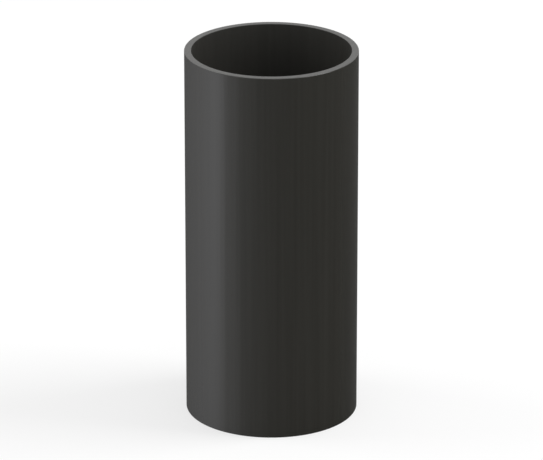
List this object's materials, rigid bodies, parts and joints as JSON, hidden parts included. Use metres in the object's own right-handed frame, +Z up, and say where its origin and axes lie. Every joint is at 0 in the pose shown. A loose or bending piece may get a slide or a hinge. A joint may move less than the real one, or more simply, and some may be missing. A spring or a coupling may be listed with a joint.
{
  "type": "downpipe",
  "caption": "Short straight length of round plastic downpipe with plain square-cut ends, for carrying rainwater down a wall.",
  "frame": {"origin": "on the pipe's axis, in the plane of its lower sawn end", "axes": "+Z up along the pipe's axis; the pipe is round, so X and Y are any two directions square to it"},
  "size_m": [0.075, 0.075, 0.165],
  "materials": {
    "pipe_plastic": "satin"
  },
  "bodies": {
    "root": {"downpipe": "pipe_plastic"}
  },
  "joints": []
}
